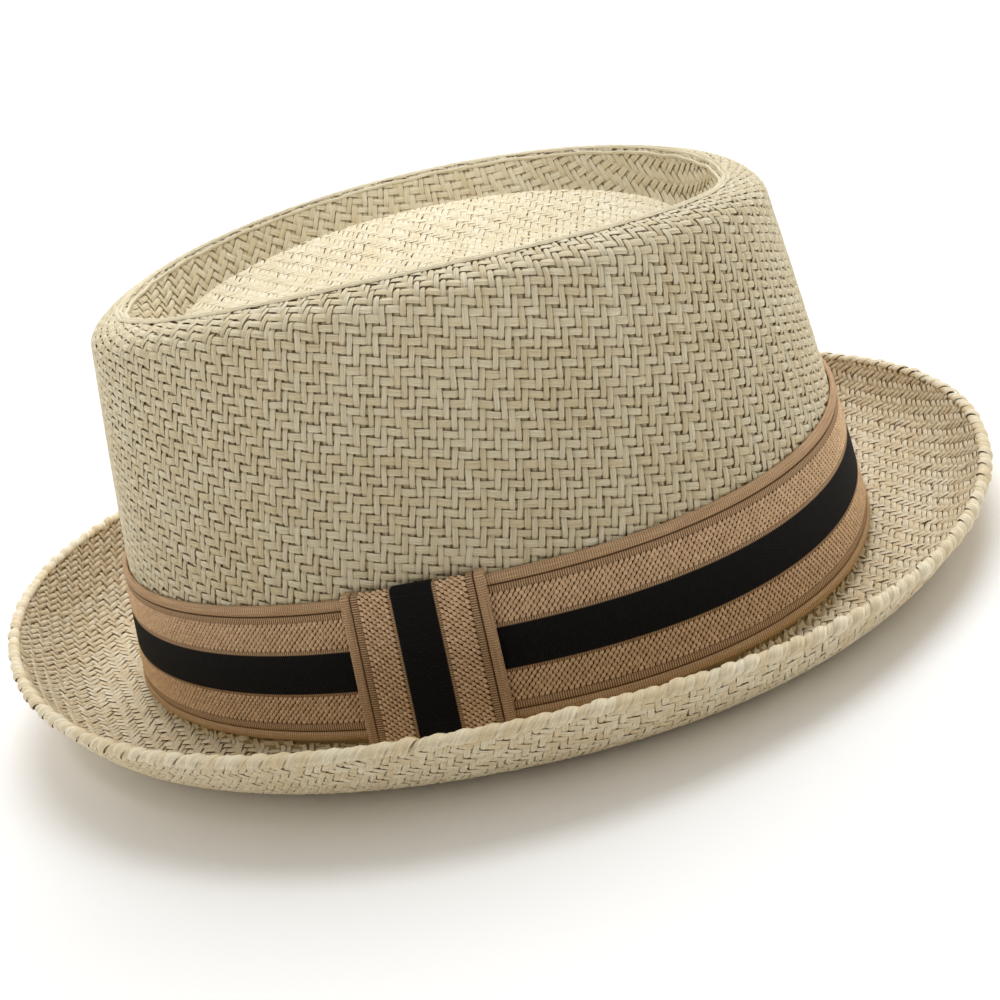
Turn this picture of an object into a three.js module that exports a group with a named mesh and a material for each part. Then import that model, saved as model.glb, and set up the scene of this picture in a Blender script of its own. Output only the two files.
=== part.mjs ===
// A porkpie hat of woven paper straw, with a striped elastic band and the band's keeper.
// Millimetres, +Z up. The hat rests on its brim at z = 0, and its front faces -Y.
// The origin lies under the middle of the whole hat, on the surface that it rests on.
import * as THREE from "three";

// The straw cloth
const strawWall = 1.8;
const hemWall = 2.6; // the cloth is folded back on itself at the brim's edge

// The crown. Heights are over the upper face of the brim's flat.
const crownLength = 201.8; // outside, where the crown meets the brim
const crownWidth = 169.6;
const crownForward = 2; // the crown stands this far in front of the brim's middle
const crownHeight = 97.3; // of the crest, midway between its highest and lowest
const crownSwell = 0.5; // how far the side wall bows out of straight
const crestLength = 152.4; // the crest is the fold line round the tip
const crestWidth = 115.4;
const crestBack = 5; // the crest lies this far behind the middle of the crown's base
const crestRake = 3.6; // how much higher the crest is at the front than midway
const crestArch = 2.6; // how much higher the crest is at the sides than midway
const shoulderReach = 9.8; // of the round shoulder, outwards from the crest
const shoulderDrop = 6.2;

// The tip: a crease runs round it inside the crest, and a low plateau fills its middle
const creaseWidth = 14; // from the crest to the plateau's edge
const creaseDepth = 12;
const plateauDome = 1.3; // how much higher the plateau's middle is than its edge

// The brim
const brimLength = 259.8;
const brimWidth = 220.6;
const brimFlat = 7; // width of the flat ring that the hat rests on
const brimCurl = 17.7; // mean height of the brim's edge over its flat
const frontCurl = 6.1; // how much higher the edge is at the front, and lower at the back
const quarterDip = 1.8; // how much lower the edge is between the sides and the ends
const breakRadius = 0.8; // of the turn from crown to brim

// The band and its keeper, cut from one webbing
const webbingWidth = 34.5;
const webbingThickness = 1.3;
const bandArch = 0.6; // how much higher the band lies at the sides than midway
const keeperTurn = -7.7; // degrees from the left side, and negative is towards the front
const keeperFold = 0.8; // cut off the keeper's corners, where it folds over the band's edges
const seat = 0.3; // clear gap between pieces that touch

// How round each outline is: 2 is an ellipse, and more is squarer
const crownSquareness = 2.23;
const brimSquareness = 2.03;
// How much wider an outline is behind its middle, as a share
const baseEgg = 0.13;
const crestEgg = 0.01;

const strawColour = 0xd8c7a0;
const webbingColour = 0xb08a62;
const keeperColour = 0xa98159;

const turnSteps = 72;
const keeperColumns = 9;
const sharpFold = 0.6; // cosine of half of the sharpest fold
const fullTurn = 2 * Math.PI;
const nudge = 0.01; // a small turn, to measure slopes with

// Rows of the plateau, from the middle outwards. out: share of the way to its edge.
// sink: share of the dome that is lost there.
const plateauRows = [
  { out: 0.3, sink: 0.09 },
  { out: 0.6, sink: 0.36 },
  { out: 0.85, sink: 0.72 },
];

// Rows of the crease, from the plateau's edge to the crest. inset: share of the crease's
// width, from the crest. drop: share of its depth, below the crest.
const creaseRows = [
  { inset: 1, drop: 0.6 },
  { inset: 0.82, drop: 0.7 },
  { inset: 0.66, drop: 0.88 },
  { inset: 0.5, drop: 1 },
  { inset: 0.35, drop: 0.9 },
  { inset: 0.2, drop: 0.5 },
  { inset: 0.08, drop: 0.14 },
  { inset: 0, drop: 0 },
];

// Angles down the shoulder's quarter round, and shares of the side wall's height
const shoulderAngles = [13, 32, 52, 72, 90];
const wallRows = [0.78, 0.52, 0.26];

// Rows of the curl, from the brim's flat to its edge, as shares of its reach and its rise
const curlRows = [
  { out: 0.3, rise: 0.09 },
  { out: 0.55, rise: 0.26 },
  { out: 0.75, rise: 0.49 },
  { out: 0.89, rise: 0.74 },
  { out: 1, rise: 1 },
];

const mix = THREE.MathUtils.lerp;
const wallHeight = crownHeight - shoulderDrop;
const bandBottom = breakRadius + seat + webbingThickness + seat;

// A point of an oval outline at a turn from the left side (+X) towards the back (+Y)
function outlinePoint(outline, turn, height) {
  const c = Math.cos(turn);
  const s = Math.sin(turn);
  const n = outline.squareness;
  const reach = (Math.abs(c) ** n + Math.abs(s) ** n) ** (-1 / n);
  const x = outline.halfWidth * reach * c * (1 + outline.egg * reach * s);
  const y = outline.halfLength * reach * s;
  return new THREE.Vector3(x, outline.middle + y, height);
}

// The crest's outline, moved outwards by some millimetres
function crestOutline(outwards) {
  return {
    halfLength: crestLength / 2 + outwards,
    halfWidth: crestWidth / 2 + outwards,
    middle: crestBack - crownForward,
    egg: crestEgg,
    squareness: crownSquareness,
  };
}

// How far the crest's height departs from its mean at a turn
function crestWave(turn) {
  return crestArch * Math.cos(2 * turn) - crestRake * Math.sin(turn);
}

// A point of the crown's side wall, at a share of its height
function wallPoint(share, turn) {
  const top = crestOutline(shoulderReach);
  const swell = crownSwell * 4 * share * (1 - share);
  const outline = {
    halfLength: mix(crownLength / 2, top.halfLength, share) + swell,
    halfWidth: mix(crownWidth / 2, top.halfWidth, share) + swell,
    middle: mix(-crownForward, top.middle, share),
    egg: mix(baseEgg, crestEgg, share),
    squareness: crownSquareness,
  };
  return outlinePoint(outline, turn, strawWall + share * (wallHeight + crestWave(turn)));
}

function tipPoint(outwards, drop, turn) {
  return outlinePoint(crestOutline(outwards), turn, strawWall + crownHeight + crestWave(turn) - drop);
}

// A point of the plateau: its wave fades out towards the middle
function plateauPoint(row, turn) {
  const outline = crestOutline(-creaseWidth);
  outline.halfLength *= row.out;
  outline.halfWidth *= row.out;
  const edge = strawWall + crownHeight - creaseDepth * creaseRows[0].drop;
  const dome = plateauDome * (1 - row.sink);
  return outlinePoint(outline, turn, edge + dome + row.out * crestWave(turn));
}

// The brim's edge, and points between the crown's base and that edge
function brimEdge(turn) {
  const outline = {
    halfLength: brimLength / 2,
    halfWidth: brimWidth / 2,
    middle: 0,
    egg: 0,
    squareness: brimSquareness,
  };
  const curl = brimCurl - frontCurl * Math.sin(turn) + quarterDip * Math.cos(4 * turn);
  return outlinePoint(outline, turn, strawWall + curl);
}

function brimPoint(outwards, turn) {
  const base = wallPoint(0, turn);
  const edge = brimEdge(turn);
  const way = new THREE.Vector3(edge.x - base.x, edge.y - base.y, 0).normalize();
  return base.addScaledVector(way, outwards);
}

function curlPoint(row, turn) {
  const start = brimPoint(breakRadius + brimFlat, turn);
  const edge = brimEdge(turn);
  const point = start.clone().lerp(edge, row.out);
  point.z = mix(start.z, edge.z, row.rise);
  return point;
}

// The upper face of the straw, as rings from the tip's middle to the brim's edge
function strawSections() {
  const sections = [];
  for (const row of plateauRows) {
    sections.push({ wall: strawWall, at: (turn) => plateauPoint(row, turn) });
  }
  for (const row of creaseRows) {
    const outwards = -row.inset * creaseWidth;
    sections.push({ wall: strawWall, at: (turn) => tipPoint(outwards, row.drop * creaseDepth, turn) });
  }
  for (const degrees of shoulderAngles) {
    const angle = THREE.MathUtils.degToRad(degrees);
    const outwards = shoulderReach * Math.sin(angle);
    const drop = shoulderDrop * (1 - Math.cos(angle));
    sections.push({ wall: strawWall, at: (turn) => tipPoint(outwards, drop, turn) });
  }
  for (const share of wallRows) {
    sections.push({ wall: strawWall, at: (turn) => wallPoint(share, turn) });
  }
  sections.push({ wall: strawWall, at: (turn) => wallPoint(breakRadius / wallHeight, turn) });
  sections.push({ wall: strawWall, at: (turn) => brimPoint(breakRadius, turn) });
  sections.push({ wall: strawWall, at: (turn) => brimPoint(breakRadius + brimFlat, turn) });
  for (const row of curlRows) {
    const wall = mix(strawWall, hemWall, row.rise);
    sections.push({ wall, at: (turn) => curlPoint(row, turn) });
  }
  return sections;
}

// A closed mesh from a list of points and a list of triangles
function closedMesh(name, points, triangles, colour) {
  const geometry = new THREE.BufferGeometry();
  const flat = points.flatMap((point) => [point.x, point.y, point.z]);
  geometry.setAttribute("position", new THREE.Float32BufferAttribute(flat, 3));
  geometry.setIndex(triangles.flat());
  geometry.computeVertexNormals();
  const material = new THREE.MeshStandardMaterial({ color: colour, roughness: 0.85, metalness: 0 });
  const mesh = new THREE.Mesh(geometry, material);
  mesh.name = name;
  return mesh;
}

// Triangles between two rings of the same size, wound so that they face outwards
function joinRings(first, second, steps, closed) {
  const triangles = [];
  const last = closed ? steps : steps - 1;
  for (let i = 0; i < last; i += 1) {
    const next = (i + 1) % steps;
    triangles.push([first + i, second + i, second + next]);
    triangles.push([first + i, second + next, first + next]);
  }
  return triangles;
}

// The point on the underside: the wall is measured square to the faces on both sides,
// and a sharp fold adds no more than sharpFold allows
function undersidePoint(before, here, after, around, wall) {
  const normals = [];
  for (const run of [here.clone().sub(before), after.clone().sub(here)]) {
    normals.push(run.cross(around).normalize());
  }
  const normal = normals[0].clone().add(normals[1]).normalize();
  const square = Math.max(normal.dot(normals[0]), sharpFold);
  return here.clone().addScaledVector(normal, -wall / square);
}

function strawBody() {
  const sections = strawSections();
  const step = fullTurn / turnSteps;
  const tipMiddle = plateauPoint({ out: 0, sink: 0 }, 0);
  const upper = sections.map((section) => {
    return Array.from({ length: turnSteps }, (_, i) => section.at(i * step));
  });
  const lower = upper.map((ring, row) => ring.map((point, i) => {
    const around = ring[(i + 1) % turnSteps].clone().sub(ring[(i + turnSteps - 1) % turnSteps]);
    const before = row > 0 ? upper[row - 1][i] : tipMiddle;
    const beyond = point.clone().multiplyScalar(2).sub(before);
    const after = row + 1 < upper.length ? upper[row + 1][i] : beyond;
    return undersidePoint(before, point, after, around, sections[row].wall);
  }));
  // The hem's round edge stands out from the middle of the last rings
  const hem = upper.at(-1).map((point, i) => {
    const run = point.clone().sub(upper.at(-2)[i]).normalize();
    return point.clone().lerp(lower.at(-1)[i], 0.5).addScaledVector(run, hemWall / 2);
  });
  const rings = [...upper, hem, ...lower.reverse()];
  const tipUnderside = new THREE.Vector3(0, tipMiddle.y, tipMiddle.z - strawWall);
  const points = [tipMiddle, ...rings.flat(), tipUnderside];
  const triangles = [];
  for (let row = 0; row + 1 < rings.length; row += 1) {
    triangles.push(...joinRings(1 + row * turnSteps, 1 + (row + 1) * turnSteps, turnSteps, true));
  }
  const lastRing = 1 + (rings.length - 1) * turnSteps;
  for (let i = 0; i < turnSteps; i += 1) {
    const next = (i + 1) % turnSteps;
    triangles.push([0, 1 + i, 1 + next]);
    triangles.push([lastRing + turnSteps, lastRing + next, lastRing + i]);
  }
  return closedMesh("straw_body", points, triangles, strawColour);
}

// A point on or over the crown's side wall. up: millimetres along the wall from the brim.
// out: millimetres square to the wall.
function overWall(up, out, turn) {
  const base = wallPoint(0, turn);
  const run = wallPoint(1, turn).sub(base);
  const share = (up + bandArch * Math.cos(2 * turn)) / run.length();
  const here = wallPoint(share, turn);
  const around = wallPoint(share, turn + nudge).sub(wallPoint(share, turn - nudge));
  const normal = around.cross(run).normalize();
  return here.addScaledVector(normal, out);
}

function hatBand() {
  const inner = seat;
  const outer = seat + webbingThickness;
  const middle = bandBottom + webbingWidth / 2;
  const top = bandBottom + webbingWidth;
  // The section, round the webbing from the lower edge's inside
  const section = [
    { up: bandBottom, out: inner },
    { up: bandBottom, out: outer },
    { up: middle, out: outer },
    { up: top, out: outer },
    { up: top, out: inner },
    { up: middle, out: inner },
  ];
  const points = section.flatMap((corner) => {
    return Array.from({ length: turnSteps }, (_, i) => {
      return overWall(corner.up, corner.out, (i * fullTurn) / turnSteps);
    });
  });
  const triangles = section.flatMap((_, row) => {
    const nextRow = (row + 1) % section.length;
    return joinRings(nextRow * turnSteps, row * turnSteps, turnSteps, true);
  });
  return closedMesh("hat_band", points, triangles, webbingColour);
}

// A short length of the webbing over the band's joint, folded round both of its edges
function bandKeeper() {
  const inner = seat + webbingThickness + seat;
  const outer = inner + webbingThickness;
  const lowInside = bandBottom - seat;
  const low = lowInside - webbingThickness;
  const highInside = bandBottom + webbingWidth + seat;
  const high = highInside + webbingThickness;
  const middle = (low + high) / 2;
  const fold = Math.min(keeperFold, webbingThickness);
  const section = [
    { up: low, out: seat },
    { up: low, out: outer - fold },
    { up: low + fold, out: outer },
    { up: middle, out: outer },
    { up: high - fold, out: outer },
    { up: high, out: outer - fold },
    { up: high, out: seat },
    { up: highInside, out: seat },
    { up: highInside, out: inner },
    { up: middle, out: inner },
    { up: lowInside, out: inner },
    { up: lowInside, out: seat },
  ];
  const centre = THREE.MathUtils.degToRad(keeperTurn);
  const before = overWall(middle, outer, centre - nudge);
  const reach = overWall(middle, outer, centre + nudge).distanceTo(before) / (2 * nudge);
  const halfTurn = webbingWidth / 2 / reach;
  const points = section.flatMap((corner) => {
    return Array.from({ length: keeperColumns }, (_, i) => {
      return overWall(corner.up, corner.out, centre + mix(-halfTurn, halfTurn, i / (keeperColumns - 1)));
    });
  });
  const triangles = section.flatMap((_, row) => {
    const nextRow = (row + 1) % section.length;
    return joinRings(nextRow * keeperColumns, row * keeperColumns, keeperColumns, false);
  });
  const flatSection = section.map((corner) => new THREE.Vector2(corner.up, corner.out));
  for (const [a, b, c] of THREE.ShapeUtils.triangulateShape(flatSection, [])) {
    const front = [c, b, a].map((corner) => corner * keeperColumns);
    const back = [a, b, c].map((corner) => (corner + 1) * keeperColumns - 1);
    triangles.push(front, back);
  }
  return closedMesh("band_keeper", points, triangles, keeperColour);
}

// The hat is shifted so that the origin lies under the middle of its box
const hat = new THREE.Group();
hat.add(strawBody(), hatBand(), bandKeeper());
const box = new THREE.Box3().setFromObject(hat);
hat.position.set(-(box.min.x + box.max.x) / 2, -(box.min.y + box.max.y) / 2, 0);

export default hat;
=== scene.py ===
import math
import bmesh
import bpy
import numpy as np
from mathutils import Matrix, Vector


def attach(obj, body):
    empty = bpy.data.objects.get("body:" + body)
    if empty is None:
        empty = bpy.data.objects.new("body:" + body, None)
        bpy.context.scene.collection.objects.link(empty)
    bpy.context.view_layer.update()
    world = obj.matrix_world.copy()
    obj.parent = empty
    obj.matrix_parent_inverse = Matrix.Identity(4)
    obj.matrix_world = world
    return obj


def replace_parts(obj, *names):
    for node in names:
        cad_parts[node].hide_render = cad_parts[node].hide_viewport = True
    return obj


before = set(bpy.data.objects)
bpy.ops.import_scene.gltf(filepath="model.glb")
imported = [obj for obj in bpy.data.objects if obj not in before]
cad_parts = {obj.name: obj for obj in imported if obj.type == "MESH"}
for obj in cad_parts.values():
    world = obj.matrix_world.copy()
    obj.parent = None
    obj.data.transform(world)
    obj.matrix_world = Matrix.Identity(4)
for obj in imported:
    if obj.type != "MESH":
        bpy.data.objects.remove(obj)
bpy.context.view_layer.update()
mm = 0.001
fullTurn = 2 * math.pi
chance = np.random.default_rng(58)

# Camera and studio

view = {
    "place": (0.32772, 0.03258, 0.16572),
    "azimuth": 5.003,
    "elevation": 23.922,
    "roll": -16.157,  # the picture is taken with the camera leaning over
    "lens": 46.84,
}


def makeCamera():
    turn, lift, roll = (math.radians(view[name]) for name in ("azimuth", "elevation", "roll"))
    back = Vector((math.cos(lift) * math.cos(turn), math.cos(lift) * math.sin(turn), math.sin(lift)))
    right = Vector((0, 0, 1)).cross(back).normalized()
    up = back.cross(right)
    leaningRight = right * math.cos(roll) + up * math.sin(roll)
    leaningUp = up * math.cos(roll) - right * math.sin(roll)
    matrix = Matrix((leaningRight, leaningUp, back)).transposed().to_4x4()
    matrix.translation = view["place"]
    data = bpy.data.cameras.new("view")
    data.lens = view["lens"]
    data.sensor_width = 36
    data.clip_start = 0.01
    camera = bpy.data.objects.new("view", data)
    camera.matrix_world = matrix
    bpy.context.collection.objects.link(camera)
    bpy.context.scene.camera = camera


studio = {
    "floorSize": 60,
    "floorColour": (0.98, 0.965, 0.94),
    "skyColour": (1, 0.985, 0.945, 1),
    "skyLow": 2.4,  # brightness at the horizon
    "skyHigh": 0.7,  # and overhead
    "skyClimb": (0.04, 0.3),  # heights between which it fades
    "skyNear": (0.34, 0.9),  # where it goes dark on the camera's side, from 0 beside the hat to 1
    "backdrop": 1.1,  # brightness of the plain backdrop that the camera sees in its place
    "sunPlace": (-0.6, 0.18, 1.0),  # where the soft main light comes from
    "sunStrength": 2.1,
    "sunColour": (0.9, 0.94, 1.0),
    "sunAngle": 40,  # degrees across, which is what softens its shadow
}

# Small lights: on the crown's top, on the far side of its dent, and on the left of the brim
spots = (
    {"place": (0.2, 0.0, 0.66), "aim": (-0.035, 0.0, 0.09), "power": 4.2, "angle": 17},
    {"place": (0.42, 0.02, 0.42), "aim": (-0.065, 0.01, 0.1), "power": 4.0, "angle": 15},
    {"place": (0.26, -0.12, 0.62), "aim": (-0.01, -0.112, 0.02), "power": 3.4, "angle": 15},
)
spotBlend = 0.6
spotRadius = 0.06


def addPiece(name, mesh, *materials):
    for material in materials:
        mesh.materials.append(material)
    piece = bpy.data.objects.new(name, mesh)
    bpy.context.collection.objects.link(piece)
    return piece


def meshFrom(bm, name):
    mesh = bpy.data.meshes.new(name)
    bm.to_mesh(mesh)
    bm.free()
    return mesh


def plainMaterial(name, colour, roughness):
    material = bpy.data.materials.new(name)
    material.use_nodes = True
    shader = material.node_tree.nodes["Principled BSDF"]
    shader.inputs["Base Color"].default_value = (*colour, 1)
    shader.inputs["Roughness"].default_value = roughness
    return material


def fade(tree, value, between, ends):
    node = tree.nodes.new("ShaderNodeMapRange")
    tree.links.new(value, node.inputs["Value"])
    for name, number in zip(("From Min", "From Max", "To Min", "To Max"), (*between, *ends)):
        node.inputs[name].default_value = number
    return node.outputs["Result"]


def makeSky():
    world = bpy.data.worlds.new("studio")
    bpy.context.scene.world = world
    world.use_nodes = True
    tree = world.node_tree
    direction = tree.nodes.new("ShaderNodeSeparateXYZ")
    tree.links.new(tree.nodes.new("ShaderNodeTexCoord").outputs["Generated"], direction.inputs[0])
    ends = (studio["skyLow"], studio["skyHigh"])
    strength = tree.nodes.new("ShaderNodeMath")
    strength.operation = "MULTIPLY"
    tree.links.new(fade(tree, direction.outputs["Z"], studio["skyClimb"], ends), strength.inputs[0])
    tree.links.new(fade(tree, direction.outputs["X"], studio["skyNear"], (1, 0)), strength.inputs[1])
    backdrop = tree.nodes.new("ShaderNodeMath")
    backdrop.operation = "MULTIPLY_ADD"
    tree.links.new(tree.nodes.new("ShaderNodeLightPath").outputs["Is Camera Ray"], backdrop.inputs[0])
    backdrop.inputs[1].default_value = studio["backdrop"]
    tree.links.new(strength.outputs[0], backdrop.inputs[2])
    sky = tree.nodes["Background"]
    sky.inputs["Color"].default_value = studio["skyColour"]
    tree.links.new(backdrop.outputs[0], sky.inputs["Strength"])


def makeFloor():
    bm = bmesh.new()
    bmesh.ops.create_grid(bm, x_segments=1, y_segments=1, size=studio["floorSize"] / 2)
    paint = plainMaterial("floorPaint", studio["floorColour"], 0.9)
    addPiece("floor", meshFrom(bm, "floor"), paint)


def addLight(name, kind, power, towards, place=(0, 0, 0)):
    # it shines back along towards, the way from what it lights to the light
    data = bpy.data.lights.new(name, kind)
    data.energy = power
    data.color = studio["sunColour"]
    light = bpy.data.objects.new(name, data)
    light.location = place
    light.rotation_euler = Vector(towards).to_track_quat("Z", "Y").to_euler()
    bpy.context.collection.objects.link(light)
    return data


def makeLights():
    sun = addLight("sun", "SUN", studio["sunStrength"], studio["sunPlace"])
    sun.angle = math.radians(studio["sunAngle"])
    for spot in spots:
        towards = Vector(spot["place"]) - Vector(spot["aim"])
        data = addLight("spot", "SPOT", spot["power"], towards, spot["place"])
        data.spot_size = math.radians(spot["angle"])
        data.spot_blend = spotBlend
        data.shadow_soft_size = spotRadius
    bpy.context.scene.view_settings.view_transform = "Standard"


makeCamera()
makeSky()
makeFloor()
makeLights()
print("stage: camera and studio")

# The hat's form. Lengths are metres, and the same ones shape the solids of the frame

form = {
    "wall": 1.8 * mm,
    "hemWall": 2.6 * mm,
    "crownLength": 201.8 * mm,
    "crownWidth": 169.6 * mm,
    "crownForward": 2 * mm,
    "crownHeight": 97.3 * mm,
    "crownSwell": 0.5 * mm,
    "crestLength": 152.4 * mm,
    "crestWidth": 115.4 * mm,
    "crestBack": 5 * mm,
    "crestRake": 3.6 * mm,
    "crestArch": 2.6 * mm,
    "shoulderReach": 9.8 * mm,
    "shoulderDrop": 6.2 * mm,
    "creaseWidth": 14 * mm,
    "creaseDepth": 12 * mm,
    "plateauDome": 1.3 * mm,
    "brimLength": 259.8 * mm,
    "brimWidth": 220.6 * mm,
    "brimFlat": 7 * mm,
    "brimCurl": 17.7 * mm,
    "frontCurl": 6.1 * mm,
    "quarterDip": 1.8 * mm,
    "breakRadius": 0.8 * mm,
    "crownSquareness": 2.23,
    "brimSquareness": 2.03,
    "baseEgg": 0.13,
    "crestEgg": 0.01,
    # inset from the crest as a share of the crease's width, and depth as a share of its depth
    "crease": [(0, 0), (0.08, 0.14), (0.2, 0.5), (0.35, 0.9),
               (0.5, 1), (0.66, 0.88), (0.82, 0.7), (1, 0.6)],
    # share of the way out over the curl, and share of its rise
    "curl": [(0, 0), (0.3, 0.09), (0.55, 0.26), (0.75, 0.49), (0.89, 0.74), (1, 1)],
}
wallHeight = form["crownHeight"] - form["shoulderDrop"]
crestMiddle = form["crestBack"] - form["crownForward"]

turnCount = 720
turns = np.arange(turnCount) * fullTurn / turnCount
tipRows = 110
wallRows = 120
brimRows = 50
# how many rows each part of a section is worked out with, before they are spaced evenly
sectionSteps = {"plateau": 14, "crease": 80, "shoulder": 30, "side": 80, "flat": 16, "curl": 60}


def smoothCurve(table, at):
    # a cubic between each two rows of the table, with the slopes of the rows round it
    x, y = np.array(table, float).T
    slope = np.gradient(y, x)
    i = np.clip(np.searchsorted(x, at, side="right") - 1, 0, len(x) - 2)
    span = x[i + 1] - x[i]
    t = (at - x[i]) / span
    ends = (1 + 2 * t) * (1 - t) ** 2 * y[i] + t * t * (3 - 2 * t) * y[i + 1]
    return ends + t * (1 - t) ** 2 * span * slope[i] + t * t * (t - 1) * span * slope[i + 1]


def unit(vectors):
    size = np.linalg.norm(vectors, axis=-1, keepdims=True)
    return vectors / np.maximum(size, 1e-12)


def oval(halfLength, halfWidth, middle, egg, squareness, turn, height):
    c = np.cos(turn)
    s = np.sin(turn)
    reach = (np.abs(c) ** squareness + np.abs(s) ** squareness) ** (-1 / squareness)
    x = halfWidth * reach * c * (1 + egg * reach * s)
    return np.stack([x, middle + halfLength * reach * s, height + 0 * x], axis=-1)


def crestWave(turn):
    return form["crestArch"] * np.cos(2 * turn) - form["crestRake"] * np.sin(turn)


def tipOval(outwards, share, height):
    length = (form["crestLength"] / 2 + outwards) * share
    width = (form["crestWidth"] / 2 + outwards) * share
    return oval(length, width, crestMiddle, form["crestEgg"], form["crownSquareness"], turns, height)


def wallPoint(share, turn):
    swell = form["crownSwell"] * 4 * share * (1 - share)
    topLength = form["crestLength"] / 2 + form["shoulderReach"]
    topWidth = form["crestWidth"] / 2 + form["shoulderReach"]
    length = form["crownLength"] / 2 * (1 - share) + topLength * share + swell
    width = form["crownWidth"] / 2 * (1 - share) + topWidth * share + swell
    middle = -form["crownForward"] * (1 - share) + crestMiddle * share
    egg = form["baseEgg"] * (1 - share) + form["crestEgg"] * share
    height = form["wall"] + share * (wallHeight + crestWave(turn))
    return oval(length, width, middle, egg, form["crownSquareness"], turn, height)


def tipSection():
    rows = []
    crest = form["wall"] + form["crownHeight"]
    plateau = crest - form["creaseDepth"] * form["crease"][-1][1]
    for out in np.linspace(0, 1, sectionSteps["plateau"])[:-1]:
        height = plateau + form["plateauDome"] * (1 - out * out) + out * crestWave(turns)
        rows.append(tipOval(-form["creaseWidth"], out, height))
    for inset in np.linspace(1, 0, sectionSteps["crease"]):
        height = crest + crestWave(turns) - smoothCurve(form["crease"], inset) * form["creaseDepth"]
        rows.append(tipOval(-inset * form["creaseWidth"], 1, height))
    return rows


def wallSection():
    rows = []
    for angle in np.linspace(0, math.pi / 2, sectionSteps["shoulder"])[:-1]:
        drop = form["shoulderDrop"] * (1 - math.cos(angle))
        height = form["wall"] + form["crownHeight"] + crestWave(turns) - drop
        rows.append(tipOval(form["shoulderReach"] * math.sin(angle), 1, height))
    for share in np.linspace(1, form["breakRadius"] / wallHeight, sectionSteps["side"]):
        rows.append(wallPoint(share, turns))
    return rows


def brimSection():
    foot = wallPoint(0, turns)
    curl = form["brimCurl"] - form["frontCurl"] * np.sin(turns) + form["quarterDip"] * np.cos(4 * turns)
    edge = oval(form["brimLength"] / 2, form["brimWidth"] / 2, 0, 0, form["brimSquareness"], turns, curl)
    way = unit((edge - foot) * (1, 1, 0))
    flat = form["breakRadius"] + form["brimFlat"]
    rows = [foot + way * out for out in np.linspace(0, flat, sectionSteps["flat"])]
    start = rows[-1]
    for out in np.linspace(0, 1, sectionSteps["curl"])[1:]:
        row = start + (edge - start) * (out, out, 0)
        row[:, 2] = start[:, 2] + curl * smoothCurve(form["curl"], out)
        rows.append(row)
    return rows


def evenRows(rows, count):
    # the same surface with its rows spaced evenly along each meridian, and the meridians' lengths
    rows = np.array(rows)
    steps = np.linalg.norm(np.diff(rows, axis=0), axis=-1)
    run = np.concatenate([np.zeros((1, turnCount)), np.cumsum(steps, axis=0)])
    even = np.empty((count, turnCount, 3))
    for i in range(turnCount):
        at = np.linspace(0, run[-1, i], count)
        for axis in range(3):
            even[:, i, axis] = np.interp(at, run[:, i], rows[:, i, axis])
    return even, run[-1]


tipSheet, tipRun = evenRows(tipSection(), tipRows)
wallSheet, wallRun = evenRows(wallSection(), wallRows)
brimSheet, brimRun = evenRows(brimSection(), brimRows)
topSheet = np.concatenate([tipSheet, wallSheet[1:], brimSheet])
crestRow = tipRows - 1
footRow = crestRow + wallRows - 1
brimRow = footRow + 1
edgeRow = len(topSheet) - 1

around = np.roll(topSheet, -1, axis=1) - np.roll(topSheet, 1, axis=1)
topNormals = unit(np.cross(np.gradient(topSheet, axis=0), around))
topNormals[0] = (0, 0, 1)
# the wall grows thicker over the curl, towards the folded hem
thickness = np.full(len(topSheet), form["wall"])
thickness[brimRow:] += (form["hemWall"] - form["wall"]) * np.linspace(0, 1, brimRows) ** 2
lowerSheet = topSheet - topNormals * thickness[:, None, None]
lowerNormals = -topNormals

crestHeading = np.unwrap(np.arctan2(tipSheet[-1, :, 1] - crestMiddle, tipSheet[-1, :, 0]))
brimHeading = np.unwrap(np.arctan2(brimSheet[-1, :, 1], brimSheet[-1, :, 0]))
footRadius = np.hypot(brimSheet[0, :, 0], brimSheet[0, :, 1])


def lookUp(heading, headings, values, step=0):
    # a value kept for each turn, read at a heading. step is what it gains in a full turn
    at = (heading - headings[0]) % fullTurn + headings[0]
    return np.interp(at, np.append(headings, headings[0] + fullTurn), np.append(values, values[0] + step))


def sampleSheet(sheet, row, turn):
    i = np.clip(row.astype(int), 0, len(sheet) - 2)
    down = np.clip(row - i, 0, 1)[:, None]
    place = (turn / fullTurn % 1) * turnCount
    beside = (place % 1)[:, None]
    j = place.astype(int) % turnCount
    k = (j + 1) % turnCount
    upper = sheet[i, j] * (1 - beside) + sheet[i, k] * beside
    lower = sheet[i + 1, j] * (1 - beside) + sheet[i + 1, k] * beside
    return upper * (1 - down) + lower * down


print("stage: the hat's form")

# How the flat cloth lies over the hat: a point of it becomes a row and a turn of the sheets

# The wall's cloth winds round the crown on a slant, and closes on itself after whole twills
winding = {
    "lean": math.radians(12.5),  # of the upright straws, towards the front at their lower end
    "twillsRound": 86,  # each twill is four straws
    "twillsDown": 14,
    "atShare": 0.62,  # share of the way down the wall where the pitches are measured
}
leanCos = math.cos(winding["lean"])
leanSin = math.sin(winding["lean"])
girthRow = crestRow + round(winding["atShare"] * (wallRows - 1))
girthSteps = np.linalg.norm(np.roll(topSheet[girthRow], -1, axis=0) - topSheet[girthRow], axis=-1)
girthRun = np.concatenate([[0], np.cumsum(girthSteps)])
girth = girthRun[-1]
acrossPitch = girth * leanCos / (4 * winding["twillsRound"])
alongPitch = girth * leanSin / (4 * winding["twillsDown"])


def leaned(u, v, lean):
    lean = math.radians(lean)
    return u * math.cos(lean) + v * math.sin(lean), v * math.cos(lean) - u * math.sin(lean)


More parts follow.
